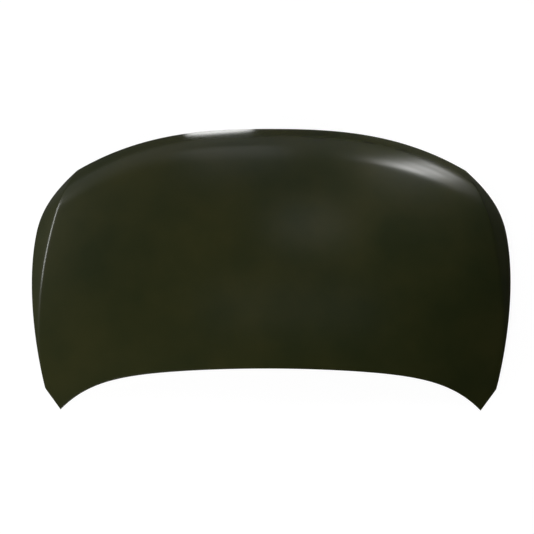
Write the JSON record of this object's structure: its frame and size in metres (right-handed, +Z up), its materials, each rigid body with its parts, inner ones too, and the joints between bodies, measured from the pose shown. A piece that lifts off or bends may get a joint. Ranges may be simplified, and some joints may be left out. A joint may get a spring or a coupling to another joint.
{
  "type": "car bonnet",
  "caption": "Primed steel car bonnet: a crowned outer skin hemmed over a ribbed inner frame with windows, hinge seats and a striker.",
  "frame": {"origin": "centre of the bounding box's base; the bonnet lies skin up on its rear tips and the front of its flanks", "axes": "+X to the right seen from behind the cowl edge, +Y to the nose edge, +Z up out of the skin"},
  "size_m": [1.4486, 0.872, 0.1507],
  "materials": {
    "primer": "satin black-olive electrocoat primer",
    "inner_primer": "matt black-olive electrocoat primer",
    "plated_steel": "zinc-plated",
    "mastic": "soft matt mastic"
  },
  "bodies": {
    "root": {"hinge_reinforcement_left": "plated_steel", "hinge_reinforcement_right": "plated_steel", "hinge_weld_nut_left_inner": "plated_steel", "hinge_weld_nut_left_outer": "plated_steel", "hinge_weld_nut_right_inner": "plated_steel", "hinge_weld_nut_right_outer": "plated_steel", "inner_frame": "inner_primer", "latch_reinforcement": "plated_steel", "mastic_front_inner_left_1": "mastic", "mastic_front_inner_left_2": "mastic", "mastic_front_inner_right_1": "mastic", "mastic_front_inner_right_2": "mastic", "mastic_front_middle_left_1": "mastic", "mastic_front_middle_left_2": "mastic", "mastic_front_middle_right_1": "mastic", "mastic_front_middle_right_2": "mastic", "mastic_front_outer_left_1": "mastic", "mastic_front_outer_left_2": "mastic", "mastic_front_outer_right_1": "mastic", "mastic_front_outer_right_2": "mastic", "mastic_rear_middle_left_1": "mastic", "mastic_rear_middle_left_2": "mastic", "mastic_rear_middle_right_1": "mastic", "mastic_rear_middle_right_2": "mastic", "mastic_rear_side_left_1": "mastic", "mastic_rear_side_left_2": "mastic", "mastic_rear_side_right_1": "mastic", "mastic_rear_side_right_2": "mastic", "outer_skin": "primer", "striker_loop": "plated_steel", "striker_plate": "plated_steel"}
  },
  "joints": []
}
